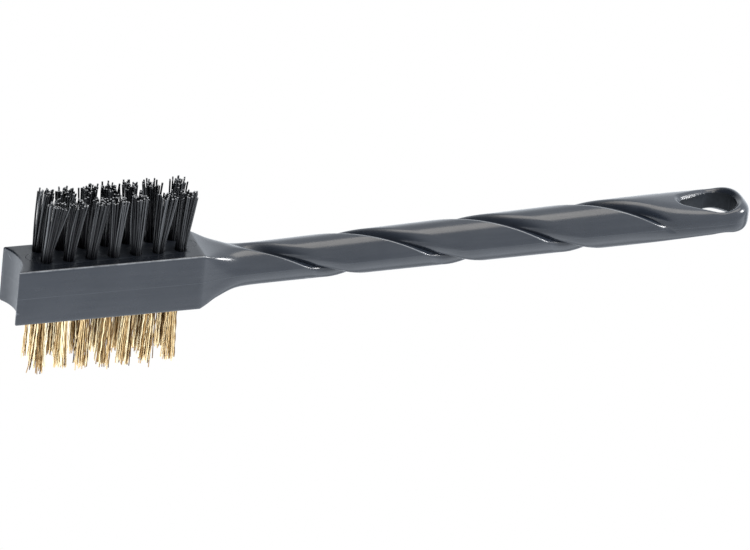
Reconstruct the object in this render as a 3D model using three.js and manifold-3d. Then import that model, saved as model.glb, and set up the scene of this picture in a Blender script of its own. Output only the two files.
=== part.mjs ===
// Two-sided hand scrubbing brush: black nylon tufts above the head, brass wire tufts below it.
// Millimetres. +X runs from the nose of the head to the hanging eyelet, +Y across the head and
// +Z towards the nylon side. The parts are laid out about the head's centre line, and the whole
// group is then moved along Z so that the origin is the centre of the brush's bounding box.
import * as THREE from 'three';
import { mergeVertices } from 'three/addons/utils/BufferGeometryUtils.js';
import Module from 'manifold-3d';

const wasm = await Module();
wasm.setup();

// ---- driving dimensions -------------------------------------------------------------------
const brushLength = 220;
const noseX = -brushLength / 2;
const tipX = brushLength / 2;

const headLength = 54.6;
const headWidth = 15.2;
const headHeight = 17.2;
const headEdgeRadius = 0.4;
const noseScoopDepth = 2.9;

const taperLength = 19.2;
const taperPower = 2.9;         // how fast the head's section shrinks onto the grip
const taperCornerPower = 1.5;   // how much faster than that its corners round off
const gripRadiusAtHead = 5.95;
const gripRadiusAtEyelet = 6.85;
const gripRise = 4;             // the grip's centre line climbs this much from shoulder to tip

const grooveLead = 71;          // one full turn of each of the two grooves
const grooveDepth = 1.7;
const grooveStartX = -48;
const twistStartX = -42;        // the sections begin to turn here, past the head's square part
const grooveEndX = 88;
const grooveZeroX = 24.5;       // where one groove passes grooveZeroAngle
const grooveZeroAngle = THREE.MathUtils.degToRad(236);
const grooveFadeIn = 14;        // length over which the grooves deepen
const grooveFadeOut = 20;       // length over which they die out
const noseWall = { middle: 7.5, swing: 6.5, power: 1.2 };      // groove wall towards the nose
const eyeletWall = { middle: 7, swing: -4.5, power: 2 };       // groove wall towards the eyelet
const wallPhase = 0.14;         // radians by which the walls' swing leads the +Y direction

const paddleStartX = 72;        // the round grip begins to flatten
const paddleWidth = 16.2;
const paddleThickness = 8.8;
const paddleEndLength = 7.2;    // length over which the tip rounds off in plan
const eyeletRadius = 5.8;       // wide end of the teardrop hole, towards the tip
const eyeletTailRadius = 2.2;
const eyeletTipWall = 3.5;
const eyeletLength = 17;
const paddleFlatBefore = 4;     // the paddle is fully flat this far before its round end
const gripSquareness = 2;       // superellipse exponents: 2 is an ellipse, higher is squarer
const headSquareness = 16;
const paddleSquareness = 3.6;
const paddleEndSquareness = 4;    // and seen from the side
const paddlePlanSquareness = 2.5; // how squarely the tip rounds off in plan

const tuftsPerRow = 7;
const nylonPitch = 6.55;
const brassPitch = 6.4;
const firstTuftFromNose = 9.8;  // nose to the centre of the front row's first hole
const rowSpacing = 6.4;
const rowShift = 0.8;           // how far the pair of rows sits behind the head's centre plane
const rowStagger = 0.5;         // the back row sits this much nearer the nose
const holeRadius = 1.7;
const holeDepth = 6;
const tuftRootRadius = 1.4;

const nylonLength = 18.6;       // free length above the head's face
const brassLength = 17.6;
const nylonTopRadius = 2.75;
const brassTopRadius = 2.5;
const tuftCrownHeight = 0.9;    // the rounded-off end of a tuft
const tuftCrownShrink = 0.8;
const rowSplay = 0.9;           // how far a tuft's tip leans out from its own root

const anchorLength = 4.2;       // staple wire that pins each tuft's fold to the hole's floor
const anchorThickness = 0.45;
const anchorHeight = 1.5;
const anchorFloorGap = 1.1;
const clearance = 0.3;

const ringPoints = 32;
const stationSpacing = 3;
const taperStations = 9;
const endStations = 9;
const tuftFacets = 12;
const holeFacets = 14;
const edgeFacets = 2;
const eyeletFacets = 20;
const scoopFacets = 64;
const overcut = 1;              // cutters run this far past the faces they cut

// ---- materials ----------------------------------------------------------------------------
const material = (color, roughness, metalness) =>
  new THREE.MeshStandardMaterial({ color, roughness, metalness });
const slatePlastic = material(0x43474e, 0.45, 0);
const blackNylon = material(0x17181b, 0.5, 0);
const brassWire = material(0xb28a4c, 0.35, 1);
const anchorSteel = material(0x8c8f93, 0.4, 1);

// ---- solid helpers ------------------------------------------------------------------------
function toSolid(geometry) {
  const bare = geometry.clone();
  bare.deleteAttribute('normal');
  bare.deleteAttribute('uv');
  const welded = mergeVertices(bare, 1e-5);
  return new wasm.Manifold(new wasm.Mesh({
    numProp: 3,
    vertProperties: new Float32Array(welded.attributes.position.array),
    triVerts: new Uint32Array(welded.index.array),
  }));
}

function toGeometry(solid) {
  const mesh = solid.getMesh();
  const geometry = new THREE.BufferGeometry();
  geometry.setAttribute('position', new THREE.BufferAttribute(mesh.vertProperties, 3));
  geometry.setIndex(new THREE.BufferAttribute(mesh.triVerts, 1));
  geometry.computeVertexNormals();
  return geometry;
}

function cylinderAlongZ(radius, height, facets, x, y, z) {
  return new THREE.CylinderGeometry(radius, radius, height, facets).rotateX(Math.PI / 2).translate(x, y, z);
}

function box(sizeX, sizeY, sizeZ, x, y, z) {
  return new THREE.BoxGeometry(sizeX, sizeY, sizeZ).translate(x, y, z);
}

const lerp = THREE.MathUtils.lerp;
const smooth = THREE.MathUtils.smoothstep;

// ---- tuft layout --------------------------------------------------------------------------
const rows = [
  { row: 'front', side: -1, shift: 0 },
  { row: 'back', side: 1, shift: -rowStagger },
];
const faces = [
  {
    fibre: 'nylon', up: 1, pitch: nylonPitch, length: nylonLength, topRadius: nylonTopRadius,
    finish: blackNylon,
  },
  {
    fibre: 'brass', up: -1, pitch: brassPitch, length: brassLength, topRadius: brassTopRadius,
    finish: brassWire,
  },
];

function tuftPlaces() {
  const places = [];
  for (const face of faces) {
    for (const { row, side, shift } of rows) {
      for (let i = 0; i < tuftsPerRow; i += 1) {
        const x = noseX + firstTuftFromNose + i * face.pitch + shift;
        const y = rowShift + side * rowSpacing / 2;
        places.push({ ...face, name: `${face.fibre}_tuft_${row}_${i + 1}`, side, x, y });
      }
    }
  }
  return places;
}

// ---- moulded body -------------------------------------------------------------------------
const shoulderX = noseX + headLength;
const taperEndX = shoulderX + taperLength;
const paddleEndCentre = tipX - paddleEndLength;

function headBlock() {
  const halfWidth = headWidth / 2;
  const halfHeight = headHeight / 2;
  const r = headEdgeRadius;
  const outline = new THREE.Shape();
  outline.absarc(halfWidth - r, halfHeight - r, r, 0, Math.PI / 2);
  outline.absarc(r - halfWidth, halfHeight - r, r, Math.PI / 2, Math.PI);
  outline.absarc(r - halfWidth, r - halfHeight, r, Math.PI, 1.5 * Math.PI);
  outline.absarc(halfWidth - r, r - halfHeight, r, 1.5 * Math.PI, 2 * Math.PI);
  const settings = { depth: headLength, bevelEnabled: false, curveSegments: edgeFacets };
  const block = new THREE.ExtrudeGeometry(outline, settings);
  const alongX = new THREE.Matrix4().makeBasis(
    new THREE.Vector3(0, 1, 0), new THREE.Vector3(0, 0, 1), new THREE.Vector3(1, 0, 0));
  return block.applyMatrix4(alongX).translate(noseX, 0, 0);
}

function noseScoop() {
  const halfWidth = headWidth / 2;
  const radius = (halfWidth ** 2 + noseScoopDepth ** 2) / (2 * noseScoopDepth);
  const height = headHeight + 2 * overcut;
  return cylinderAlongZ(radius, height, scoopFacets, noseX + noseScoopDepth - radius, 0, 0);
}

const gripRadius = (x) => lerp(gripRadiusAtHead, gripRadiusAtEyelet,
  THREE.MathUtils.clamp((x - taperEndX) / (paddleStartX - taperEndX), 0, 1));

const axisRise = (x) => gripRise * Math.max(0, x - shoulderX) / (tipX - shoulderX);

// Half width, half height and squareness (superellipse exponent) of the section at x.
function section(x) {
  if (x < taperEndX) {
    const left = ((taperEndX - x) / taperLength) ** taperPower;
    return {
      halfWidth: lerp(gripRadiusAtHead, headWidth / 2, left),
      halfHeight: lerp(gripRadiusAtHead, headHeight / 2, left),
      squareness: lerp(gripSquareness, headSquareness, left ** taperCornerPower),
    };
  }
  const flat = smooth(x, paddleStartX, paddleEndCentre - paddleFlatBefore);
  const past = Math.max(0, x - paddleEndCentre) / paddleEndLength;
  const rounded = Math.sqrt(Math.max(0, 1 - past ** paddlePlanSquareness));
  const edge = Math.sqrt(Math.max(0, 1 - past ** paddleEndSquareness));
  return {
    halfWidth: lerp(gripRadius(x), paddleWidth / 2, flat) * rounded,
    halfHeight: lerp(gripRadius(x), paddleThickness / 2, flat) * edge,
    squareness: lerp(gripSquareness, paddleSquareness, flat),
  };
}

// The sections turn with the grooves, so that each groove keeps to the same points round them.
function twist(x) {
  const grooved = THREE.MathUtils.clamp(x, twistStartX, grooveEndX);
  return 2 * Math.PI * (grooved - grooveZeroX) / grooveLead;
}

// How much of the groove's depth is left at a distance from its bottom, up one of its walls.
function wallCut(distance, wall, angle) {
  const width = wall.middle + wall.swing * Math.cos(angle + wallPhase);
  return Math.max(0, 1 - distance / width) ** wall.power;
}

// How deep the grip is cut at x and at an angle measured from +Y towards +Z. The wall towards the
// nose is steep where the grip faces -Y and shallow where it faces +Y.
function grooveCut(x, angle) {
  const fadeIn = smooth(x, grooveStartX, grooveStartX + grooveFadeIn);
  const fadeOut = 1 - smooth(x, grooveEndX - grooveFadeOut, grooveEndX);
  const halfLead = grooveLead / 2;
  const along = x - grooveZeroX - (angle - grooveZeroAngle) / (2 * Math.PI) * grooveLead;
  const past = THREE.MathUtils.euclideanModulo(along, halfLead);
  const cut = Math.max(wallCut(past, eyeletWall, angle), wallCut(halfLead - past, noseWall, angle));
  return grooveDepth * fadeIn * fadeOut * cut;
}

function gripStations() {
  const stations = [];
  const add = (from, to, count) => {
    for (let i = 0; i < count; i += 1) stations.push(lerp(from, to, i / count));
  };
  add(shoulderX - overcut, shoulderX, 1);
  add(shoulderX, taperEndX, taperStations);
  add(taperEndX, paddleEndCentre, Math.round((paddleEndCentre - taperEndX) / stationSpacing));
  for (let i = 0; i < endStations; i += 1) {
    stations.push(paddleEndCentre + paddleEndLength * Math.sin(Math.PI / 2 * i / endStations));
  }
  return stations;
}

function gripLoft() {
  const stations = gripStations();
  const points = [];
  for (const x of stations) {
    const { halfWidth, halfHeight, squareness } = section(Math.max(x, shoulderX));
    for (let k = 0; k < ringPoints; k += 1) {
      const angle = twist(x) + grooveZeroAngle + 2 * Math.PI * k / ringPoints;
      const c = Math.cos(angle);
      const s = Math.sin(angle);
      const reach = (Math.abs(c / halfWidth) ** squareness + Math.abs(s / halfHeight) ** squareness)
        ** (-1 / squareness) - grooveCut(x, angle);
      points.push(x, reach * c, axisRise(x) + reach * s);
    }
  }
  const startCentre = points.length / 3;
  points.push(stations[0], 0, 0, tipX, 0, gripRise);
  const faceList = [];
  const ring = (i, k) => i * ringPoints + (k % ringPoints);
  const last = stations.length - 1;
  for (let k = 0; k < ringPoints; k += 1) {
    faceList.push(startCentre, ring(0, k + 1), ring(0, k));
    faceList.push(startCentre + 1, ring(last, k), ring(last, k + 1));
    for (let i = 0; i < last; i += 1) {
      faceList.push(ring(i, k), ring(i, k + 1), ring(i + 1, k));
      faceList.push(ring(i, k + 1), ring(i + 1, k + 1), ring(i + 1, k));
    }
  }
  const geometry = new THREE.BufferGeometry();
  geometry.setAttribute('position', new THREE.Float32BufferAttribute(points, 3));
  geometry.setIndex(faceList);
  return geometry;
}

function eyeletHole() {
  const wideX = tipX - eyeletTipWall - eyeletRadius;
  const tailX = tipX - eyeletTipWall - eyeletLength + eyeletTailRadius;
  const tangent = Math.acos((eyeletRadius - eyeletTailRadius) / (wideX - tailX));
  const outline = new THREE.Shape();
  outline.absarc(wideX, 0, eyeletRadius, tangent - Math.PI, Math.PI - tangent);
  outline.absarc(tailX, 0, eyeletTailRadius, Math.PI - tangent, Math.PI + tangent);
  const depth = 2 * (gripRadiusAtEyelet + gripRise);
  const settings = { depth, bevelEnabled: false, curveSegments: eyeletFacets };
  const hole = new THREE.ExtrudeGeometry(outline, settings);
  return hole.translate(0, 0, -depth / 2);
}

function brushBody() {
  let body = toSolid(headBlock()).add(toSolid(gripLoft()));
  body = body.subtract(toSolid(noseScoop())).subtract(toSolid(eyeletHole()));
  for (const { x, y, up } of tuftPlaces()) {
    const floorZ = up * (headHeight / 2 - holeDepth);
    const cutHeight = holeDepth + overcut;
    const hole = cylinderAlongZ(holeRadius, cutHeight, holeFacets, x, y, floorZ + up * cutHeight / 2);
    body = body.subtract(toSolid(hole));
    const slotSize = [anchorThickness, anchorLength, anchorHeight].map((side) => side + 2 * clearance);
    const slotMiddle = floorZ + up * (anchorFloorGap + anchorHeight / 2);
    const slot = box(...slotSize, x, y, slotMiddle);
    body = body.subtract(toSolid(slot));
  }
  return toGeometry(body);
}

// ---- tufts and anchors --------------------------------------------------------------------
// A tuft is a flared bundle: a straight root inside its hole, then a cone that leans outwards.
function tuft({ up, length, topRadius, side }) {
  const rootFloor = clearance - holeDepth;
  const profile = [[0, rootFloor], [tuftRootRadius, rootFloor], [tuftRootRadius, 0],
    [topRadius, length - tuftCrownHeight], [topRadius * tuftCrownShrink, length], [0, length]];
  const bundle = new THREE.LatheGeometry(profile.map(([r, h]) => new THREE.Vector2(r, h)), tuftFacets);
  bundle.rotateX(Math.PI / 2);
  const position = bundle.attributes.position;
  for (let i = 0; i < position.count; i += 1) {
    const height = Math.max(0, position.getZ(i)) / length;
    position.setY(i, position.getY(i) + side * rowSplay * height);
  }
  const windowMiddle = anchorFloorGap + anchorHeight / 2 - holeDepth;
  const window = box(anchorThickness + 2 * clearance, 4 * holeRadius, anchorHeight + 2 * clearance,
    0, 0, windowMiddle);
  const geometry = toGeometry(toSolid(bundle).subtract(toSolid(window)));
  return up > 0 ? geometry : geometry.rotateX(Math.PI);
}

const brush = new THREE.Group();

function addPart(name, geometry, finish, x = 0, y = 0, z = 0) {
  const mesh = new THREE.Mesh(geometry, finish);
  mesh.name = name;
  mesh.position.set(x, y, z);
  brush.add(mesh);
}

addPart('brush_body', brushBody(), slatePlastic);
for (const place of tuftPlaces()) {
  const { up, side, x, y } = place;
  // Turning a tuft over about X also swaps its lean, so the lower face's side is swapped first.
  addPart(place.name, tuft({ ...place, side: side * up }), place.finish, x, y, up * headHeight / 2);
  const anchorZ = up * (headHeight / 2 - holeDepth + anchorFloorGap + anchorHeight / 2);
  const anchor = new THREE.BoxGeometry(anchorThickness, anchorLength, anchorHeight);
  addPart(place.name.replace('tuft', 'anchor'), anchor, anchorSteel, x, y, anchorZ);
}
brush.position.z = (brassLength - nylonLength) / 2;

export default brush;
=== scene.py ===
"""Two-sided hand brush: the looks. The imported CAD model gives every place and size."""
import math
import random

import bpy
import numpy as np
from mathutils import Matrix, Vector


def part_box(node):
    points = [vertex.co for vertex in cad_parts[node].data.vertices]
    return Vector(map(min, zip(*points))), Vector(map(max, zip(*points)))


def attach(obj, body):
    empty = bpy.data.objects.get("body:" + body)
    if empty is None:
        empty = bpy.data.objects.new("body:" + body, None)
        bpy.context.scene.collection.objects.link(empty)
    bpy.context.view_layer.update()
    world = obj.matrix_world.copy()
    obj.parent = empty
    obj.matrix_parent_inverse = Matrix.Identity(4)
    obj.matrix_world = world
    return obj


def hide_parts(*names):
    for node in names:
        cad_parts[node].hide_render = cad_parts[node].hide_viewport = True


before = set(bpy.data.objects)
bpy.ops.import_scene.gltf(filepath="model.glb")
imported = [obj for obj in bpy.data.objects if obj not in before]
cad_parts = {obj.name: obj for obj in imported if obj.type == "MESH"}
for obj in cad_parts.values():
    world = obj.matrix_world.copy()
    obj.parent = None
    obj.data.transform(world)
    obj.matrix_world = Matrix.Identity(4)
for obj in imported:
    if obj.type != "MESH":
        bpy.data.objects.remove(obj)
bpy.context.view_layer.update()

MM = 0.001

# ---- places and sizes from the frame, in millimetres ---------------------------------------
def box_mm(node):
    low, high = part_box(node)
    return Vector(low) / MM, Vector(high) / MM


BODY_LOW, BODY_HIGH = box_mm("brush_body")
NOSE_X, TIP_X = BODY_LOW.x, BODY_HIGH.x
HEAD_HALF_HEIGHT = 8.6
AXIS_Z = BODY_LOW.z + HEAD_HALF_HEIGHT      # the head's centre line
PADDLE_HALF_WIDTH = (BODY_HIGH.y - BODY_LOW.y) / 2

# ---- the moulding's own dimensions -----------------------------------------------------------
# As in the CAD part, but for the grooves' depth, fade and walls, and the eyelet's softened rims.
HEAD_HALF_WIDTH = 7.6
HEAD_EDGE = 0.6                  # fillet along the head's long edges
SHOULDER_X = NOSE_X + 54.6
TAPER = 19.2
TAPER_END_X = SHOULDER_X + TAPER
TAPER_POWER = 2.9
TAPER_CORNER_POWER = 1.5
GRIP_RADIUS = (5.95, 6.85)       # at the head and at the eyelet
GRIP_RISE = 4.0                  # climb of the centre line from the shoulder to the tip
SCOOP_DEPTH = 2.9
SCOOP_REACH = 9.0                # the rings straighten out over this length behind the nose
NOSE_EDGE = 0.6
GROOVE_LEAD = 71.0
GROOVE_DEPTH = 1.75
GROOVE_X = (-48.0, 88.0)
TWIST_X = (-42.0, 88.0)          # the rings turn with the grooves between these
GROOVE_FADE = (14.0, 13.0)       # lengths over which the grooves deepen and die out
GROOVE_ZERO_X = 24.5
GROOVE_ZERO_ANGLE = math.radians(236)
WALL_PHASE = 0.14
GROOVE_BELOW = 6.0               # width of both walls under the parting line
BELOW_RANGE = (-0.05, 0.7)       # downward direction over which the walls change to that width
NOSE_WALL = (7.5, 5.9, 1.5)      # middle width, swing round the grip, steepness power
EYELET_WALL = (7.0, -4.5, 2.0)
PADDLE_START_X = 72.0
PADDLE_HALF_THICKNESS = 4.4
PADDLE_FINE_X = PADDLE_START_X + 8
PADDLE_FLAT_BEFORE = 4.0         # it is fully flat this far ahead of its rounded end
PADDLE_END_LENGTH = 7.2
PADDLE_END_X = TIP_X - PADDLE_END_LENGTH
SQUARENESS = {"grip": 2.0, "head": 16.0, "paddle": 3.6, "paddle_end": 4.0, "paddle_plan": 2.5}
EYELET_RADIUS = 5.8
EYELET_TAIL_RADIUS = 2.2
EYELET_LAND = 3.5                # plastic left between the hole and the tip
EYELET_LENGTH = 17.0
EYELET_WIDE_X = TIP_X - EYELET_LAND - EYELET_RADIUS
EYELET_TAIL_X = TIP_X - EYELET_LAND - EYELET_LENGTH + EYELET_TAIL_RADIUS
EYELET_LIP = {1: (1.7, 1.3), -1: (2.1, 2.1)}    # width and depth of the softened rims, top and bottom
LIP_POWER = 1.8
LIP_CLEAR = 1.0                  # the rims are softened only this far from the centre line
BORE_TOLERANCE = 0.08
CUT_REACH = 14                   # the eyelet's cutter reaches this far above and below
HOLE_RADIUS = 1.7
HOLE_DEPTH = 6.0
EJECTOR_RADIUS = 1.95
EJECTOR_X = (-57.6, -103.4)
TUFT_X = (-80.8, 20.5)           # middle and half length of the tufted part of the head


def smooth(x, low, high):
    t = np.clip((x - low) / (high - low), 0.0, 1.0)
    return t * t * (3.0 - 2.0 * t)


# ---- mesh helpers ----------------------------------------------------------------------------
def new_object(name, points, faces, materials=(), face_slots=None, smooth_shade=True):
    """points in millimetres; the object sits at the origin with its place in its mesh."""
    mesh = bpy.data.meshes.new(name)
    mesh.from_pydata((np.asarray(points) * MM).tolist(), [], faces)
    for item in materials:
        mesh.materials.append(item)
    if face_slots is not None:
        mesh.polygons.foreach_set("material_index", face_slots)
    mesh.polygons.foreach_set("use_smooth", [smooth_shade] * len(mesh.polygons))
    mesh.update()
    obj = bpy.data.objects.new(name, mesh)
    bpy.context.scene.collection.objects.link(obj)
    return obj


def ring_faces(first, second, count):
    return [(first + k, first + (k + 1) % count, second + (k + 1) % count, second + k) for k in range(count)]


# ---- the moulded body ------------------------------------------------------------------------
RING = 168      # points round each ring
CAP_RINGS, FILLET_RINGS, END_RINGS = 14, 6, 26


def rounded_box_reach(c, s, half_width, half_height, radius):
    """Distance from the centre to a rounded rectangle, in the direction (c, s)."""
    c, s = np.abs(c), np.abs(s)
    centre_y, centre_z = half_width - radius, half_height - radius
    along = c * centre_y + s * centre_z
    inside = along ** 2 - centre_y ** 2 - centre_z ** 2 + radius ** 2
    corner = along + np.sqrt(np.maximum(inside, 0.0))
    side = half_width / np.maximum(c, 1e-9)
    cap = half_height / np.maximum(s, 1e-9)
    reach = np.where(side * s <= centre_z, side, corner)
    return np.where(cap * c <= centre_y, cap, reach)


def superellipse_reach(c, s, half_width, half_height, power):
    return (np.abs(c / half_width) ** power + np.abs(s / half_height) ** power) ** (-1.0 / power)


def head_angles(count):
    """Directions round the head's section, gathered on its four filleted corners."""
    fillet_points = 8
    side_points = count // 4 - fillet_points
    angles = []
    for quarter in range(4):
        lying = quarter % 2 == 1
        half_side = HEAD_HALF_WIDTH if lying else HEAD_HALF_HEIGHT
        distance = HEAD_HALF_HEIGHT if lying else HEAD_HALF_WIDTH
        flat = half_side - HEAD_EDGE
        for i in range(side_points):
            across = flat * (2.0 * i / (side_points - 1) - 1.0)
            angles.append(quarter * math.pi / 2 + math.atan2(across, distance))
        for i in range(fillet_points):
            turn = math.pi / 2 * (i + 1) / (fillet_points + 1)
            ahead = distance - HEAD_EDGE + HEAD_EDGE * math.cos(turn)
            across = flat + HEAD_EDGE * math.sin(turn)
            angles.append(quarter * math.pi / 2 + math.atan2(across, ahead))
    return np.array(angles)


def grip_angles(count):
    """Directions round the grip from a groove's bottom, gathered on the two grooves."""
    t = np.arange(count) / count
    gather = 0.72
    return 2 * math.pi * t - gather / 2 * np.sin(4 * math.pi * t)


def turn_of(x):
    return 2 * math.pi * (np.clip(x, *TWIST_X) - GROOVE_ZERO_X) / GROOVE_LEAD


START_ANGLE = GROOVE_ZERO_ANGLE + float(turn_of(TWIST_X[0]))
GRIP_ANGLES = START_ANGLE + grip_angles(RING)
HEAD_ANGLES = np.sort((head_angles(RING) - START_ANGLE) % (2 * math.pi)) + START_ANGLE


def ring_angles(x):
    on_grip = float(smooth(x, SHOULDER_X, TAPER_END_X))
    return HEAD_ANGLES * (1 - on_grip) + GRIP_ANGLES * on_grip + turn_of(x) - turn_of(TWIST_X[0])


def wall_cut(distance, wall, angle):
    middle, swing, power = wall
    width = middle + swing * np.cos(angle + WALL_PHASE)
    below = smooth(-np.sin(angle), *BELOW_RANGE)
    width = width * (1 - below) + GROOVE_BELOW * below
    return np.maximum(0.0, 1.0 - distance / width) ** power


def groove_cut(x, angle):
    start, end = GROOVE_X
    fade = smooth(x, start, start + GROOVE_FADE[0]) * (1 - smooth(x, end - GROOVE_FADE[1], end))
    half_lead = GROOVE_LEAD / 2
    past = (x - GROOVE_ZERO_X - (angle - GROOVE_ZERO_ANGLE) / (2 * math.pi) * GROOVE_LEAD) % half_lead
    cut = np.maximum(wall_cut(past, EYELET_WALL, angle), wall_cut(half_lead - past, NOSE_WALL, angle))
    return GROOVE_DEPTH * fade * cut


def section_reach(x, angle):
    """Distance from the centre line to the surface, at x, in each direction."""
    c, s = np.cos(angle), np.sin(angle)
    if x <= SHOULDER_X:
        return rounded_box_reach(c, s, HEAD_HALF_WIDTH, HEAD_HALF_HEIGHT, HEAD_EDGE)
    if x < TAPER_END_X:
        left = ((TAPER_END_X - x) / TAPER) ** TAPER_POWER
        half_width = GRIP_RADIUS[0] + (HEAD_HALF_WIDTH - GRIP_RADIUS[0]) * left
        half_height = GRIP_RADIUS[0] + (HEAD_HALF_HEIGHT - GRIP_RADIUS[0]) * left
        power = SQUARENESS["grip"] + (SQUARENESS["head"] - SQUARENESS["grip"]) * left ** TAPER_CORNER_POWER
        soft = superellipse_reach(c, s, half_width, half_height, power)
        crisp = rounded_box_reach(c, s, half_width, half_height, HEAD_EDGE)
        softness = smooth(x, SHOULDER_X, SHOULDER_X + TAPER / 4)
        return crisp * (1 - softness) + soft * softness - groove_cut(x, angle)
    along = min(1.0, (x - TAPER_END_X) / (PADDLE_START_X - TAPER_END_X))
    radius = GRIP_RADIUS[0] + (GRIP_RADIUS[1] - GRIP_RADIUS[0]) * along
    flat = float(smooth(x, PADDLE_START_X, PADDLE_END_X - PADDLE_FLAT_BEFORE))
    past = max(0.0, x - PADDLE_END_X) / PADDLE_END_LENGTH
    plan = math.sqrt(max(1e-9, 1 - past ** SQUARENESS["paddle_plan"]))
    half_width = (radius + (PADDLE_HALF_WIDTH - radius) * flat) * plan
    edge = math.sqrt(max(1e-9, 1 - past ** SQUARENESS["paddle_end"]))
    half_height = (radius + (PADDLE_HALF_THICKNESS - radius) * flat) * edge
    power = SQUARENESS["grip"] + (SQUARENESS["paddle"] - SQUARENESS["grip"]) * flat
    return superellipse_reach(c, s, half_width, half_height, power) - groove_cut(x, angle)


def axis_rise(x):
    return GRIP_RISE * max(0.0, x - SHOULDER_X) / (TIP_X - SHOULDER_X)


def scoop(y):
    """How far the hollow nose face lies behind its corners."""
    radius = (HEAD_HALF_WIDTH ** 2 + SCOOP_DEPTH ** 2) / (2 * SCOOP_DEPTH)
    return np.sqrt(np.maximum(radius ** 2 - y ** 2, 0.0)) - (radius - SCOOP_DEPTH)


def body_stations():
    coarse = 1.0
    spans = [
        (NOSE_X + NOSE_EDGE, SHOULDER_X, 1.2 * coarse),
        (SHOULDER_X, TAPER_END_X, 0.6 * coarse),
        (TAPER_END_X, PADDLE_FINE_X, 0.55 * coarse),
        (PADDLE_FINE_X, PADDLE_END_X, 0.3 * coarse),
    ]
    stations = []
    for low, high, step in spans:
        count = max(2, round((high - low) / step))
        stations += [low + (high - low) * i / count for i in range(count)]
    ends = [math.sin(math.pi / 2 * i / END_RINGS) for i in range(END_RINGS)]
    return stations + [PADDLE_END_X + PADDLE_END_LENGTH * e for e in ends]


def teardrop_distance(x, y):
    """Signed distance to the eyelet's outline, negative inside the hole."""
    span = EYELET_WIDE_X - EYELET_TAIL_X
    lean = (EYELET_RADIUS - EYELET_TAIL_RADIUS) / span
    rise = math.sqrt(1 - lean ** 2)
    back, y = EYELET_WIDE_X - x, np.abs(y)
    place = rise * back - lean * y
    wide = np.hypot(back, y) - EYELET_RADIUS
    tail = np.hypot(back - span, y) - EYELET_TAIL_RADIUS
    side = rise * y + lean * back - EYELET_RADIUS
    return np.where(place < 0, wide, np.where(place > rise * span, tail, side))


def inset_ring(angle, inset):
    """The head's outline pulled in by a distance, as y and z."""
    half_width = max(HEAD_HALF_WIDTH - inset, 0.03)
    half_height = max(HEAD_HALF_HEIGHT - inset, 0.03)
    c, s = np.cos(angle), np.sin(angle)
    outer = rounded_box_reach(c, s, HEAD_HALF_WIDTH, HEAD_HALF_HEIGHT, HEAD_EDGE)
    y, z = outer * c, outer * s
    return (np.clip(y * half_width / HEAD_HALF_WIDTH, -half_width, half_width),
            np.clip(z * half_height / HEAD_HALF_HEIGHT, -half_height, half_height))


def body_points():
    rows = []
    angle = ring_angles(NOSE_X)
    cap_insets = [HEAD_HALF_WIDTH * k / CAP_RINGS for k in range(CAP_RINGS - 1, 0, -1)]
    fillet_turns = [math.pi / 2 * k / FILLET_RINGS for k in range(FILLET_RINGS)]
    for inset in cap_insets:
        y, z = inset_ring(angle, inset)
        rows.append((NOSE_X + scoop(y), y, z))
    for turn in fillet_turns:
        inset = NOSE_EDGE * (1 - math.sin(turn))
        y, z = inset_ring(angle, inset)
        rows.append((NOSE_X + scoop(y) + NOSE_EDGE * (1 - math.cos(turn)), y, z))
    for x in body_stations():
        angle = ring_angles(x)
        reach = section_reach(x, angle)
        y, z = reach * np.cos(angle), reach * np.sin(angle)
        hollow = scoop(y) * max(0.0, 1 - (x - NOSE_X) / SCOOP_REACH)
        distance = teardrop_distance(x, y)
        for side, (width, depth) in EYELET_LIP.items():
            lip = depth * np.clip(1 - np.maximum(distance, 0) / width, 0, 1) ** LIP_POWER
            z = np.where(side * z > LIP_CLEAR, z - side * lip, z)
        rows.append((x + hollow, y, z + axis_rise(x)))
    points = [np.stack([np.broadcast_to(x, y.shape), y, z], axis=1) for x, y, z in rows]
    return np.concatenate(points), len(rows)


def extruded(outline, low, high):
    """A closed prism over a list of (x, y) points."""
    count = len(outline)
    points = [(x, y, low) for x, y in outline] + [(x, y, high) for x, y in outline]
    faces = [tuple(reversed(range(count))), tuple(range(count, 2 * count))]
    faces += [(k, (k + 1) % count, count + (k + 1) % count, count + k) for k in range(count)]
    return points, faces


def circle(x, y, radius, count):
    turns = [2 * math.pi * k / count for k in range(count)]
    return [(x + radius * math.cos(a), y + radius * math.sin(a)) for a in turns]


def eyelet_outline():
    tangent = math.acos((EYELET_RADIUS - EYELET_TAIL_RADIUS) / (EYELET_WIDE_X - EYELET_TAIL_X))
    steps = 72
    wide = [tangent - math.pi + (2 * math.pi - 2 * tangent) * k / steps for k in range(steps + 1)]
    tail = [math.pi - tangent + 2 * tangent * k / steps for k in range(steps + 1)]
    points = [(EYELET_WIDE_X + EYELET_RADIUS * math.cos(a), EYELET_RADIUS * math.sin(a)) for a in wide]
    return points + [(EYELET_TAIL_X + EYELET_TAIL_RADIUS * math.cos(a), EYELET_TAIL_RADIUS * math.sin(a))
                     for a in tail]


def tuft_roots():
    """name of each tuft -> (x, y) of its hole and which way it stands, read from its staple anchor."""
    roots = {}
    for node in sorted(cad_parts):
        if "_anchor_" in node:
            low, high = box_mm(node)
            middle = (low + high) / 2
            roots[node.replace("anchor", "tuft")] = (middle.x, middle.y, 1 if middle.z > AXIS_Z else -1)
    return roots


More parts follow.
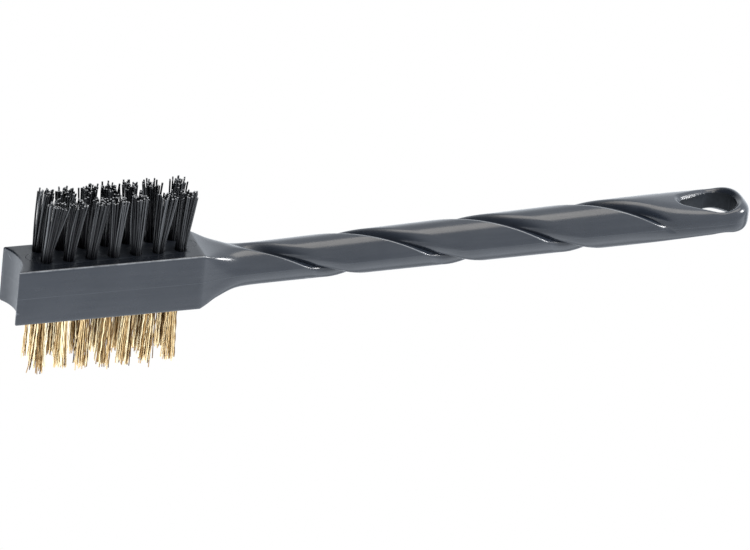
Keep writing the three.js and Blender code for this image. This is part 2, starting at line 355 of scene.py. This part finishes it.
def cutter_mesh():
    points, faces = [], []

    def add(part):
        start = len(points)
        points.extend(part[0])
        faces.extend(tuple(start + i for i in face) for face in part[1])

    face_z = {1: AXIS_Z + HEAD_HALF_HEIGHT, -1: AXIS_Z - HEAD_HALF_HEIGHT}
    add(extruded(eyelet_outline(), AXIS_Z - CUT_REACH, AXIS_Z + CUT_REACH))
    for x, y, up in tuft_roots().values():
        low, high = sorted((face_z[up] - up * HOLE_DEPTH, face_z[up] + up))
        add(extruded(circle(x, y, HOLE_RADIUS, 32), low, high))
    return points, faces


def cut_with(obj, points, faces):
    cutter = new_object("cutter", points, faces)
    modifier = obj.modifiers.new("cut", "BOOLEAN")
    modifier.operation = "DIFFERENCE"
    modifier.solver = "MANIFOLD"
    modifier.object = cutter
    depsgraph = bpy.context.evaluated_depsgraph_get()
    mesh = bpy.data.meshes.new_from_object(obj.evaluated_get(depsgraph))
    obj.modifiers.clear()
    obj.data = mesh
    bpy.data.objects.remove(cutter)


def mark_bore(body):
    """Put the hanging hole's wall in the body's second material slot, which carries its painted shade."""
    for face in body.data.polygons:
        centre = face.center / MM
        if abs(face.normal.z) < 0.1 and abs(teardrop_distance(centre.x, centre.y)) < BORE_TOLERANCE:
            face.material_index = 1


def build_body(materials):
    points, row_count = body_points()
    points[:, 2] += AXIS_Z
    faces = []
    for row in range(row_count - 1):
        faces += ring_faces(row * RING, (row + 1) * RING, RING)
    points = np.concatenate([points, [[NOSE_X + SCOOP_DEPTH, 0, AXIS_Z], [TIP_X, 0, AXIS_Z + GRIP_RISE]]])
    nose, tip = len(points) - 2, len(points) - 1
    last = (row_count - 1) * RING
    for k in range(RING):
        faces.append((nose, (k + 1) % RING, k))
        faces.append((tip, last + k, last + (k + 1) % RING))
    body = new_object("moulded_body", points, faces, materials)
    cut_with(body, *cutter_mesh())
    body.data.polygons.foreach_set("use_smooth", [True] * len(body.data.polygons))
    body.data.set_sharp_from_angle(angle=math.radians(38))
    mark_bore(body)
    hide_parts("brush_body")
    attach(body, "root")


# ---- bristles --------------------------------------------------------------------------------
def tube(path, radius, sides, roll):
    """Points of a filament's surface along a path, ring after ring."""
    path = np.asarray(path)
    tangent = np.gradient(path, axis=0)
    tangent /= np.linalg.norm(tangent, axis=1)[:, None]
    across = np.cross(tangent, [1.0, 0.2, 0.0])
    across /= np.linalg.norm(across, axis=1)[:, None]
    other = np.cross(tangent, across)
    turns = roll + 2 * math.pi * np.arange(sides) / sides
    ring = across[:, None, :] * np.cos(turns)[None, :, None]
    ring = ring + other[:, None, :] * np.sin(turns)[None, :, None]
    return (path[:, None, :] + radius * ring).reshape(-1, 3)


def tube_faces(start, rows, sides):
    """A filament's side faces and the two flat cuts that close it."""
    faces = []
    for row in range(rows - 1):
        faces += ring_faces(start + row * sides, start + (row + 1) * sides, sides)
    bottom = tuple(start + k for k in reversed(range(sides)))
    top = tuple(start + (rows - 1) * sides + k for k in range(sides))
    return faces, bottom, top


def root_spot(index, count, radius):
    """Evenly filled disc (sunflower spiral)."""
    turn = index * math.radians(137.508)
    reach = radius * math.sqrt((index + 0.5) / count)
    return reach * math.cos(turn), reach * math.sin(turn)


FIBRES = {
    "nylon": dict(count=33, radius=0.25, sides=8, rows=9, root=1.40, top=2.6, splay=0.9, uneven=0.95,
                  stray=0.08, wave=0.0, wave_length=1.0, lean=0.25),
    "brass": dict(count=46, radius=0.15, sides=6, rows=44, root=1.42, top=2.05, splay=0.7, uneven=1.4,
                  stray=0.06, wave=0.075, wave_length=4.6, lean=0.45),
}
# How far the tips of the nylon tufts lean towards the eyelet, from the nose to the shoulder.
NYLON_LEAN = {"front": (1.5, 1.5, 1.0, 0.1, 0.2, 1.2, 1.0), "back": (1.3, 0.3, 1.1, 0.6, -0.7, -0.8, 0.4)}
# How full each nylon tuft's crown is, and how much shorter the back row is worn.
NYLON_SPREAD = {"front": (1.0, 1.0, 0.9, 1.0, 0.9, 1.05, 0.95),
                "back": (0.6, 1.0, 0.9, 1.0, 0.95, 1.0, 0.95)}
NYLON_WORN = {"front": 0.0, "back": 0.55}
TIP_WANDER = 0.28                # spread of a filament's tip about its place
STRAY_WANDER = 3.0               # how many times further a stray one wanders
STRAY_REACH = (-0.5, 1.3)        # and how much shorter or longer it is
LONGER_SHARE = 0.3               # uneven lengths fall mostly short
BOW = 0.12
ROOT_DEPTH = 1.2                 # a filament starts this far inside its hole
BEND_POWER = 1.15


def filament_path(fibre, rng, index, root, up, face_z, length, row_side, tuft_lean, spread):
    look = FIBRES[fibre]
    spot_x, spot_y = root_spot(index, look["count"], look["root"])
    flare = (look["top"] / look["root"] - 1.0) * spread
    stray = rng.random() < look["stray"]
    wander = (STRAY_WANDER if stray else 1.0) * TIP_WANDER
    tip_x = spot_x * (1 + flare) + tuft_lean[0] + rng.gauss(0, wander)
    tip_y = spot_y * (1 + flare) + tuft_lean[1] + row_side * look["splay"] + rng.gauss(0, wander)
    reach = length + rng.uniform(-look["uneven"], look["uneven"] * LONGER_SHARE)
    if stray:
        reach += rng.uniform(*STRAY_REACH)
    bow = rng.gauss(0, BOW), rng.gauss(0, BOW)
    h = np.linspace(0.0, 1.0, look["rows"])
    along = -ROOT_DEPTH + (reach + ROOT_DEPTH) * h
    rise = np.clip(along / reach, 0, 1)
    bend = rise ** BEND_POWER
    arc = np.sin(math.pi * rise)
    x = root[0] + spot_x + (tip_x - spot_x) * bend + bow[0] * arc
    y = root[1] + spot_y + (tip_y - spot_y) * bend + bow[1] * arc
    if look["wave"]:
        phase = rng.uniform(0, 2 * math.pi)
        plane = rng.uniform(0, math.pi)
        wave = look["wave"] * np.sin(2 * math.pi * along / look["wave_length"] + phase)
        x = x + wave * math.cos(plane)
        y = y + wave * math.sin(plane)
    return np.stack([x, y, face_z + up * along], axis=1)


def build_tuft(node, root, materials, seed):
    fibre, row = node.split("_")[0], node.split("_")[2]
    look = FIBRES[fibre]
    rng = random.Random(seed)
    low, high = box_mm(node)
    up = root[2]
    face_z = AXIS_Z + up * HEAD_HALF_HEIGHT
    length = (high.z - face_z) if up > 0 else (face_z - low.z)
    row_side = -1 if row == "front" else 1
    place = int(node.split("_")[3]) - 1
    lean = NYLON_LEAN[row][place] if fibre == "nylon" else 0.0
    spread = NYLON_SPREAD[row][place] if fibre == "nylon" else 1.0
    length -= NYLON_WORN[row] if fibre == "nylon" else 0.0
    tuft_lean = rng.gauss(lean, look["lean"]), rng.gauss(0, look["lean"] * 0.6)
    points, faces, slots, shades = [], [], [], []
    total = 0
    for index in range(look["count"]):
        path = filament_path(fibre, rng, index, root, up, face_z, length, row_side, tuft_lean, spread)
        ring = tube(path, look["radius"] * rng.uniform(0.92, 1.06), look["sides"], rng.uniform(0, 6.28))
        sides, bottom, top = tube_faces(total, look["rows"], look["sides"])
        points.append(ring)
        faces += sides + [bottom, top]
        slots += [0] * (len(sides) + 1) + [1]
        shades += [rng.random()] * len(ring)
        total += len(ring)
    obj = new_object(node + "_fibres", np.concatenate(points), faces, materials, slots)
    shade = obj.data.attributes.new("shade", "FLOAT", "POINT")
    shade.data.foreach_set("value", shades)
    obj.data.set_sharp_from_angle(angle=math.radians(50))
    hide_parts(node)
    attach(obj, "root")


# ---- materials -------------------------------------------------------------------------------
class Nodes:
    """A small wrapper that makes and links the shader nodes of a material or a world."""

    def __init__(self, owner, output="ShaderNodeOutputMaterial"):
        self.owner = owner
        owner.use_nodes = True
        self.tree = owner.node_tree
        self.tree.nodes.clear()
        self.output = self.add(output)

    def add(self, kind, inputs=None, **settings):
        node = self.tree.nodes.new(kind)
        for key, value in settings.items():
            setattr(node, key, value)
        for key, value in (inputs or {}).items():
            self.feed(node, key, value)
        return node

    def feed(self, node, key, value):
        if isinstance(value, bpy.types.NodeSocket):
            self.tree.links.new(value, node.inputs[key])
        else:
            node.inputs[key].default_value = value

    def math(self, operation, a, b=0.0, clamp=False):
        node = self.add("ShaderNodeMath", {0: a, 1: b}, operation=operation)
        node.use_clamp = clamp
        return node.outputs[0]

    def plus(self, a, b):
        return self.math("ADD", a, b)

    def minus(self, a, b):
        return self.math("SUBTRACT", a, b)

    def times(self, a, b):
        return self.math("MULTIPLY", a, b)

    def noise(self, scale, detail=4.0, roughness=0.55, vector=None):
        inputs = {"Scale": scale, "Detail": detail, "Roughness": roughness}
        if vector is not None:
            inputs["Vector"] = vector
        return self.add("ShaderNodeTexNoise", inputs).outputs["Fac"]

    def ramp(self, fac, stops):
        node = self.add("ShaderNodeValToRGB", {"Fac": fac})
        elements = node.color_ramp.elements
        while len(elements) < len(stops):
            elements.new(0.5)
        for element, (place, colour) in zip(elements, stops):
            element.position = place
            element.color = (*colour, 1.0) if len(colour) == 3 else colour
        return node.outputs["Color"]

    def mix(self, fac, a, b):
        node = self.add("ShaderNodeMix", data_type="RGBA")
        self.feed(node, 0, fac)
        for socket, value in ((6, a), (7, b)):
            value = (*value, 1.0) if isinstance(value, tuple) and len(value) == 3 else value
            self.feed(node, socket, value)
        return node.outputs[2]

    def finish(self, shader):
        self.tree.links.new(shader.outputs[0], self.output.inputs["Surface"])
        return self.owner


def new_material(name):
    return Nodes(bpy.data.materials.new(name))


def object_place(nodes):
    return nodes.add("ShaderNodeTexCoord").outputs["Object"]


def split_xyz(nodes, vector):
    return tuple(nodes.add("ShaderNodeSeparateXYZ", {0: vector}).outputs)


def band(nodes, value, centre, half_width, soft):
    """1 inside centre +- half_width, falling to 0 over soft."""
    past = nodes.minus(nodes.math("ABSOLUTE", nodes.minus(value, centre)), half_width)
    return nodes.math("SUBTRACT", 1.0, nodes.math("DIVIDE", past, soft), clamp=True)


def band_mm(nodes, value, centre, half_width, soft):
    """The same for a place, with its limits in millimetres."""
    return band(nodes, value, centre * MM, half_width * MM, soft * MM)


PLASTIC_TONES = [(0.3, (0.0078, 0.0108, 0.0168)), (0.7, (0.0115, 0.0146, 0.0212))]
PARTING_TONE = (0.032, 0.037, 0.045)
# lighter convex edges: partly wear, partly painted highlight
EDGE_WEAR_AND_HIGHLIGHT_TONE = (0.10, 0.105, 0.115)
EDGE_HIGHLIGHT_TONE = (0.20, 0.205, 0.215)          # painted highlight along the front top edge and the grooves' crests
# painted shade: darker colour for the head's top face, where the tufts shade it
HEAD_TOP_PAINTED_SHADE = (0.006, 0.0065, 0.0075)
PARTING_BAND = (0.05, 0.08)                 # half width and softness, as in the bands below
RING_BAND = (0.04, 0.10)
RIM_BAND = (0.22, 0.25)
CREST_BAND = (0.10, 0.35)
CREST_X = (22, 50, 12)                      # middle, half length and softness of the painted crest highlights
CREST_ABOVE = 0.3                           # they start this far above the parting line
CREST_STEEP = (0.3, 3.0)                    # and fade out towards the back: offset and length
ROWS_Y = (0.9, 4.8, 1.2)                    # strip round the tufts with painted shade (less gloss, more roughness): middle, half width and softness
ROWS_X_SOFT = 2.0                           # softness of its two ends
SCOOP_MARGIN = 0.35                         # the scoop's rougher finish stops this far inside its rim


def ring_mark(nodes, x, y, centre_x):
    """A thin circle pressed into the head's top face by an ejector pin."""
    away_x = nodes.math("POWER", nodes.minus(x, centre_x * MM), 2.0)
    reach = nodes.math("SQRT", nodes.plus(away_x, nodes.math("POWER", y, 2.0)))
    return band_mm(nodes, reach, EJECTOR_RADIUS, *RING_BAND)


def groove_crest_highlight(nodes, x, y, z):
    """A painted highlight: a thin light line along the edge where each groove's nose-side wall meets the
    grip, where it is steep.
    """
    angle = nodes.math("ARCTAN2", z, y)
    turn = nodes.math("DIVIDE", nodes.minus(angle, GROOVE_ZERO_ANGLE), 2 * math.pi)
    along = nodes.minus(nodes.math("DIVIDE", x, MM), GROOVE_ZERO_X)
    along = nodes.minus(along, nodes.times(turn, GROOVE_LEAD))
    past = nodes.math("FLOORED_MODULO", along, GROOVE_LEAD / 2)
    swing = nodes.math("COSINE", nodes.plus(angle, WALL_PHASE))
    width = nodes.plus(NOSE_WALL[0], nodes.times(swing, NOSE_WALL[1]))
    away = nodes.minus(nodes.minus(GROOVE_LEAD / 2, past), width)
    line = band(nodes, away, 0.0, *CREST_BAND)
    upper = nodes.math("GREATER_THAN", z, CREST_ABOVE * MM)
    grip = band_mm(nodes, x, *CREST_X)
    steep = nodes.math("SUBTRACT", CREST_STEEP[0], nodes.math("DIVIDE", y, CREST_STEEP[1] * MM), clamp=True)
    return nodes.times(nodes.times(line, steep), nodes.times(upper, grip))


def on_head_top(nodes, x, z):
    above = nodes.math("GREATER_THAN", z, (AXIS_Z + HEAD_HALF_HEIGHT - 0.1) * MM)
    return nodes.times(above, nodes.math("LESS_THAN", x, (SHOULDER_X + 1) * MM))


def in_nose_scoop(nodes, x, y, z):
    half_width = (HEAD_HALF_WIDTH - SCOOP_MARGIN) * MM
    half_height = (HEAD_HALF_HEIGHT - SCOOP_MARGIN) * MM
    across = nodes.math("LESS_THAN", nodes.math("ABSOLUTE", y), half_width)
    off_axis = nodes.math("ABSOLUTE", nodes.minus(z, AXIS_Z * MM))
    inside = nodes.times(across, nodes.math("LESS_THAN", off_axis, half_height))
    return nodes.times(inside, nodes.math("LESS_THAN", x, (NOSE_X + SCOOP_DEPTH + 0.2) * MM))


# Where the painted highlight runs along the head's front top edge.
def front_top_rim(nodes, x, y, z):
    rim_y = band_mm(nodes, y, -HEAD_HALF_WIDTH, *RIM_BAND)
    rim_z = band_mm(nodes, z, AXIS_Z + HEAD_HALF_HEIGHT, *RIM_BAND)
    return nodes.times(nodes.times(rim_y, rim_z), nodes.math("LESS_THAN", x, (SHOULDER_X + 4) * MM))


def plastic_material():
    n = new_material("slate_plastic")
    place = object_place(n)
    x, y, z = split_xyz(n, place)
    broad = n.noise(90.0, 3.0, 0.5, place)
    fine = n.noise(2600.0, 4.0, 0.6, place)
    past_shoulder = n.math("MAXIMUM", n.minus(x, SHOULDER_X * MM), 0.0)
    line_z = n.plus(AXIS_Z * MM, n.times(past_shoulder, GRIP_RISE / (TIP_X - SHOULDER_X)))
    above_line = n.minus(z, line_z)
    parting = band_mm(n, above_line, 0.0, *PARTING_BAND)
    on_top = on_head_top(n, x, z)
    # painted shade round the tufts: a mottled strip with cut gloss and raised roughness, so it reads darker
    tuft_shade_strip = n.ramp(n.noise(300.0, 5.0, 0.7, place), [(0.36, (0, 0, 0)), (0.56, (1, 1, 1))])
    rows = n.times(band_mm(n, y, *ROWS_Y), band_mm(n, x, *TUFT_X, ROWS_X_SOFT))
    tuft_shade_strip = n.math("MULTIPLY", on_top, n.times(rows, n.plus(0.45, tuft_shade_strip)), clamp=True)
    rings = n.math("MAXIMUM", *[ring_mark(n, x, y, centre) for centre in EJECTOR_X])
    rings = n.times(rings, on_top)
    # convex edges made lighter: partly wear, partly painted highlight
    convexity = n.add("ShaderNodeNewGeometry").outputs["Pointiness"]
    edge = n.math("MULTIPLY", n.minus(convexity, 0.53), 9.0, clamp=True)
    # uneven strength of the painted highlight along the front top edge
    rim_highlight_mottle = n.ramp(n.noise(260.0, 3.0, 0.6, place), [(0.38, (0.35, 0.35, 0.35)), (0.60, (1, 1, 1))])

    base = n.ramp(broad, PLASTIC_TONES)
    for amount, tone in ((n.times(parting, 0.35), PARTING_TONE), (n.times(edge, 0.8), EDGE_WEAR_AND_HIGHLIGHT_TONE),
                         # painted highlight along the front top edge
                         (n.times(front_top_rim(n, x, y, z), rim_highlight_mottle), EDGE_HIGHLIGHT_TONE),
                         # painted shade on the head's top face
                         (n.times(on_top, 0.6), HEAD_TOP_PAINTED_SHADE),
                         # painted highlight along the grooves' crests
                         (n.times(groove_crest_highlight(n, x, y, above_line), 0.6), EDGE_HIGHLIGHT_TONE)):
        base = n.mix(amount, base, tone)

    stretched = n.add("ShaderNodeMapping", {"Vector": place, "Scale": (60.0, 900.0, 900.0)}).outputs[0]
    streaks = n.noise(1.0, 4.0, 0.6, stretched)
    patches = n.noise(170.0, 4.0, 0.6, place)
    gloss = n.plus(0.34, n.plus(n.times(streaks, 0.16), n.times(patches, 0.10)))
    gloss = n.times(gloss, n.minus(1.0, n.times(n.math("MAXIMUM", tuft_shade_strip, rings), 0.85)))
    gloss = n.times(gloss, n.minus(1.0, n.times(on_top, 0.12)))
    height = n.plus(n.plus(n.times(fine, 0.4), n.times(parting, 1.2)), n.times(streaks, 0.5))
    bump = n.add("ShaderNodeBump", {"Strength": 0.16, "Distance": 0.00004, "Height": height})
    dents = n.plus(n.times(rings, -1.0), n.times(tuft_shade_strip, 0.35))
    bump = n.add("ShaderNodeBump", {"Strength": 0.6, "Distance": 0.00015, "Height": dents,
                                    "Normal": bump.outputs["Normal"]})
    rough = n.plus(0.16, n.times(n.noise(420.0, 3.0, 0.6, place), 0.11))
    rough = n.plus(rough, n.times(tuft_shade_strip, 0.3))
    rough = n.plus(rough, n.times(in_nose_scoop(n, x, y, z), 0.22))
    shader = n.add("ShaderNodeBsdfPrincipled", {
        "Base Color": base, "Roughness": rough, "IOR": 1.49, "Specular IOR Level": gloss,
        "Normal": bump.outputs["Normal"]})
    return n.finish(shader)


# painted shade inside the hanging hole: its wall is darker and far less glossy than the plastic
def bore_painted_shade_material():
    n = new_material("eyelet_bore_painted_shade")
    place = object_place(n)
    grain = n.noise(800.0, 4.0, 0.6, place)
    base = n.ramp(grain, [(0.3, (0.006, 0.008, 0.011)), (0.7, (0.012, 0.015, 0.019))])
    bump = n.add("ShaderNodeBump", {"Strength": 0.2, "Distance": 0.00004, "Height": grain})
    shader = n.add("ShaderNodeBsdfPrincipled", {
        "Base Color": base, "Roughness": 0.5, "Specular IOR Level": 0.12, "Normal": bump.outputs["Normal"]})
    return n.finish(shader)


def shade_attribute(nodes):
    return nodes.add("ShaderNodeAttribute", attribute_name="shade").outputs["Fac"]


NYLON_TONES = [(0.0, (0.002, 0.002, 0.003)), (0.65, (0.006, 0.0065, 0.008)), (1.0, (0.032, 0.033, 0.036))]
BRASS_TONES = [(0.22, (0.045, 0.021, 0.008)), (0.44, (0.28, 0.17, 0.068)),
               (0.64, (0.58, 0.44, 0.24)), (0.90, (0.82, 0.73, 0.51))]


def nylon_material():
    n = new_material("black_nylon")
    place = object_place(n)
    shade = shade_attribute(n)
    base = n.ramp(shade, NYLON_TONES)
    streak = n.noise(3000.0, 2.0, 0.5, place)
    rough = n.math("ADD", 0.26, n.math("MULTIPLY", streak, 0.2))
    bump = n.add("ShaderNodeBump", {"Strength": 0.15, "Distance": 0.00003, "Height": streak})
    gloss = n.math("ADD", 0.14, n.math("MULTIPLY", n.math("POWER", shade, 2.0), 0.42))
    shader = n.add("ShaderNodeBsdfPrincipled", {
        "Base Color": base, "Roughness": rough, "IOR": 1.53, "Specular IOR Level": gloss,
        "Normal": bump.outputs["Normal"]})
    return n.finish(shader)


def nylon_end_material():
    n = new_material("nylon_cut_end")
    place = object_place(n)
    grain = n.noise(5000.0, 2.0, 0.5, place)
    base = n.ramp(grain, [(0.35, (0.03, 0.03, 0.033)), (0.65, (0.30, 0.30, 0.30))])
    shader = n.add("ShaderNodeBsdfPrincipled", {"Base Color": base, "Roughness": 0.5})
    return n.finish(shader)


def brass_material():
    n = new_material("brass_wire")
    place = object_place(n)
    shade = shade_attribute(n)
    tarnish = n.noise(700.0, 4.0, 0.6, place)
    tone = n.math("ADD", n.math("MULTIPLY", shade, 0.65), n.math("MULTIPLY", tarnish, 0.45))
    base = n.ramp(tone, BRASS_TONES)
    rough = n.math("ADD", 0.22, n.math("MULTIPLY", tarnish, 0.3))
    scratches = n.noise(6000.0, 2.0, 0.6, place)
    bump = n.add("ShaderNodeBump", {"Strength": 0.2, "Distance": 0.00002, "Height": scratches})
    shader = n.add("ShaderNodeBsdfPrincipled", {
        "Base Color": base, "Metallic": 1.0, "Roughness": rough, "Normal": bump.outputs["Normal"]})
    return n.finish(shader)


def brass_end_material():
    n = new_material("brass_cut_end")
    place = object_place(n)
    grain = n.noise(4000.0, 2.0, 0.5, place)
    base = n.ramp(grain, [(0.3, (0.28, 0.17, 0.06)), (0.7, (0.55, 0.42, 0.22))])
    shader = n.add("ShaderNodeBsdfPrincipled", {"Base Color": base, "Metallic": 1.0, "Roughness": 0.35})
    return n.finish(shader)


def anchor_material():
    n = new_material("anchor_wire")
    place = object_place(n)
    grain = n.noise(1800.0, 3.0, 0.6, place)
    base = n.ramp(grain, [(0.3, (0.36, 0.36, 0.37)), (0.7, (0.55, 0.55, 0.56))])
    shader = n.add("ShaderNodeBsdfPrincipled", {"Base Color": base, "Metallic": 1.0, "Roughness": 0.4})
    return n.finish(shader)


# ---- studio ----------------------------------------------------------------------------------
ROOM_TINT = (0.89, 0.94, 0.997)
ROOM_LEVEL = 1.95
ROOM_DARKENING = 0.93            # share of the room's light missing on the dark side
BACK_DIMMING = 0.22              # and high up behind
FLOOR_LEVEL = 1.75
FLOOR_GRAIN = 0.06
POOL_LEVEL, POOL_Y = 1.0, (-65, 45, 20)        # each patch: middle, half width and softness
SHADE_LEVEL, SHADE_Y = 0.9, (25, 30, 25)
SIDE_LEVEL, SIDE_X = 2.1, (-440, 250, 110)
CORNER_LEVEL, CORNER_X, CORNER_Y = 0.65, (-110, 75, 40), (130, 40, 25)
FLOOR_Z = -75.0
FLOOR_HALF = 3000.0


def white_stage_material():
    """White to the camera; to everything else a pale lit floor, brightest along the brush."""
    n = new_material("pale_floor")
    x, y, _ = split_xyz(n, n.add("ShaderNodeNewGeometry").outputs["Position"])
    pool = band_mm(n, y, *POOL_Y)
    shade = band_mm(n, y, *SHADE_Y)
    grain = n.times(n.noise(12.0, 2.0, 0.5), FLOOR_GRAIN)
    level = n.plus(n.plus(FLOOR_LEVEL, n.times(pool, POOL_LEVEL)), grain)
    level = n.minus(level, n.times(shade, SHADE_LEVEL))
    level = n.plus(level, n.times(band_mm(n, x, *SIDE_X), SIDE_LEVEL))
    corner = n.times(band_mm(n, x, *CORNER_X), band_mm(n, y, *CORNER_Y))
    level = n.minus(level, n.times(corner, CORNER_LEVEL))
    seen = n.add("ShaderNodeLightPath").outputs["Is Camera Ray"]
    level = n.plus(seen, n.times(n.minus(1.0, seen), level))
    return n.finish(n.add("ShaderNodeEmission", {"Color": n.mix(seen, ROOM_TINT, (1.0, 1.0, 1.0)),
                                                 "Strength": level}))


def build_floor():
    half, z = FLOOR_HALF, FLOOR_Z
    points = [(-half, -half, z), (half, -half, z), (half, half, z), (-half, half, z)]
    floor = new_object("studio_floor", points, [(0, 1, 2, 3)], [white_stage_material()], smooth_shade=False)


def soft_light(name, place, target, size, power, colour=(1.0, 1.0, 1.0)):
    data = bpy.data.lights.new(name, "AREA")
    data.shape = "RECTANGLE"
    data.size, data.size_y = size[0] * MM, size[1] * MM
    data.energy = power
    data.color = colour
    light = bpy.data.objects.new(name, data)
    light.location = Vector(place) * MM
    aim = (Vector(target) - Vector(place)).to_track_quat("-Z", "Y")
    light.rotation_euler = aim.to_euler()
    light.visible_camera = False
    bpy.context.scene.collection.objects.link(light)


def build_lights():
    soft_light("overhead_softbox", (225, 28, 520), (225, 28, 0), (420, 320), 1.75, (1.0, 0.94, 0.86))
    soft_light("kicker", (510, -132, 282), (0, 0, 0), (145, 145), 3.2)
    build_room()


def ease(nodes, value, low, high):
    inputs = {"Value": value, "From Min": low, "From Max": high}
    return nodes.add("ShaderNodeMapRange", inputs, interpolation_type="SMOOTHSTEP").outputs[0]


def build_room():
    """Bright walls all round, but for a dark side above the nose end; plain white to the camera."""
    world = bpy.data.worlds.new("studio")
    bpy.context.scene.world = world
    n = Nodes(world, "ShaderNodeOutputWorld")
    x, y, z = split_xyz(n, n.add("ShaderNodeTexCoord").outputs["Generated"])
    dark = n.times(ease(n, x, 0.06, -0.12), ease(n, z, -0.1, 0.1))
    dark = n.times(dark, ease(n, y, 0.8, 0.45))
    dim_back = n.times(n.times(ease(n, y, 0.5, 0.75), ease(n, z, 0.22, 0.45)), BACK_DIMMING)
    dark = n.math("MAXIMUM", dark, dim_back)
    level = n.plus(n.times(dark, -ROOM_DARKENING * ROOM_LEVEL), ROOM_LEVEL)
    room = n.add("ShaderNodeBackground", {"Color": (*ROOM_TINT, 1.0), "Strength": level})
    white = n.add("ShaderNodeBackground", {"Color": (1.0, 1.0, 1.0, 1.0), "Strength": 1.0})
    seen = n.add("ShaderNodeLightPath").outputs["Is Camera Ray"]
    n.finish(n.add("ShaderNodeMixShader", {0: seen, 1: room.outputs[0], 2: white.outputs[0]}))


CAMERA = dict(azimuth=-21.8, elevation=29.57, roll=5.94, distance=3000.0, scale=3.553,
              aim_right=-1.60, aim_up=-6.26)
IMAGE_WIDTH = 750
SENSOR = 36.0


def build_camera():
    """A long lens; scale is image points per millimetre at the brush."""
    azimuth, elevation = math.radians(CAMERA["azimuth"]), math.radians(CAMERA["elevation"])
    roll = math.radians(CAMERA["roll"])
    back = Vector((math.sin(azimuth) * math.cos(elevation), -math.cos(azimuth) * math.cos(elevation),
                   math.sin(elevation)))
    level = Vector((math.cos(azimuth), math.sin(azimuth), 0.0))
    upright = back.cross(level)
    right = level * math.cos(roll) + upright * math.sin(roll)
    up = back.cross(right)
    aim = Vector((0, 0, AXIS_Z)) + right * CAMERA["aim_right"] + up * CAMERA["aim_up"]
    data = bpy.data.cameras.new("camera")
    data.sensor_width = SENSOR
    data.lens = SENSOR * CAMERA["scale"] * CAMERA["distance"] / IMAGE_WIDTH
    data.clip_end = 100.0
    camera = bpy.data.objects.new("camera", data)
    camera.matrix_world = Matrix.Translation((aim + back * CAMERA["distance"]) * MM) @ Matrix(
        (right, up, back)).transposed().to_4x4()
    bpy.context.scene.collection.objects.link(camera)
    bpy.context.scene.camera = camera


# ---- build -----------------------------------------------------------------------------------
build_body([plastic_material(), bore_painted_shade_material()])
tuft_materials = {
    "nylon": [nylon_material(), nylon_end_material()],
    "brass": [brass_material(), brass_end_material()],
}
for seed, (node, root) in enumerate(sorted(tuft_roots().items())):
    build_tuft(node, root, tuft_materials[node.split("_")[0]], seed)
anchor_finish = anchor_material()
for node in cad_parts:
    if "_anchor_" in node:
        for slot in bpy.data.objects[node].material_slots:
            slot.material = anchor_finish
build_floor()
build_lights()
build_camera()
bpy.context.scene.view_settings.view_transform = "Standard"
